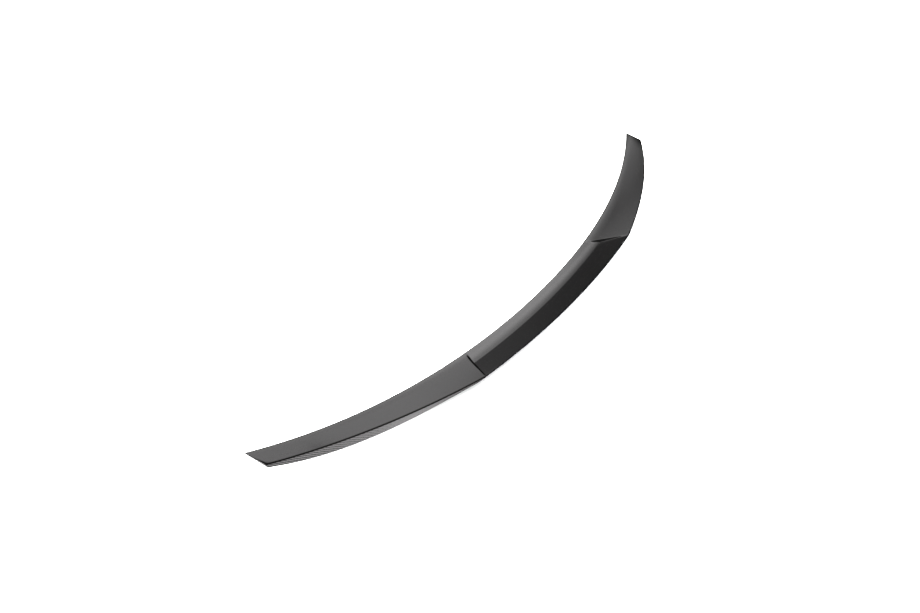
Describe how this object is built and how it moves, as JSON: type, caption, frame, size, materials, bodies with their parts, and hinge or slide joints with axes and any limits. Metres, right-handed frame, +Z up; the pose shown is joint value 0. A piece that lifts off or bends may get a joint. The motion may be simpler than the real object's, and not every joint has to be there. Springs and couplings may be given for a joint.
{
  "type": "boot lid lip spoiler",
  "caption": "Bowed carbon fibre lip spoiler for a car boot lid: scooped centre between two swept wings, undercut rear face, hollow and open underneath.",
  "frame": {"origin": "on the base plane, in the middle of the width and of the depth", "axes": "+X across the car, +Y towards the front of the car, +Z up from the boot lid"},
  "size_m": [1.2, 0.241, 0.0467],
  "materials": {
    "carbon": "woven twill carbon fibre under gloss clear coat"
  },
  "bodies": {
    "root": {"spoiler": "carbon"}
  },
  "joints": []
}
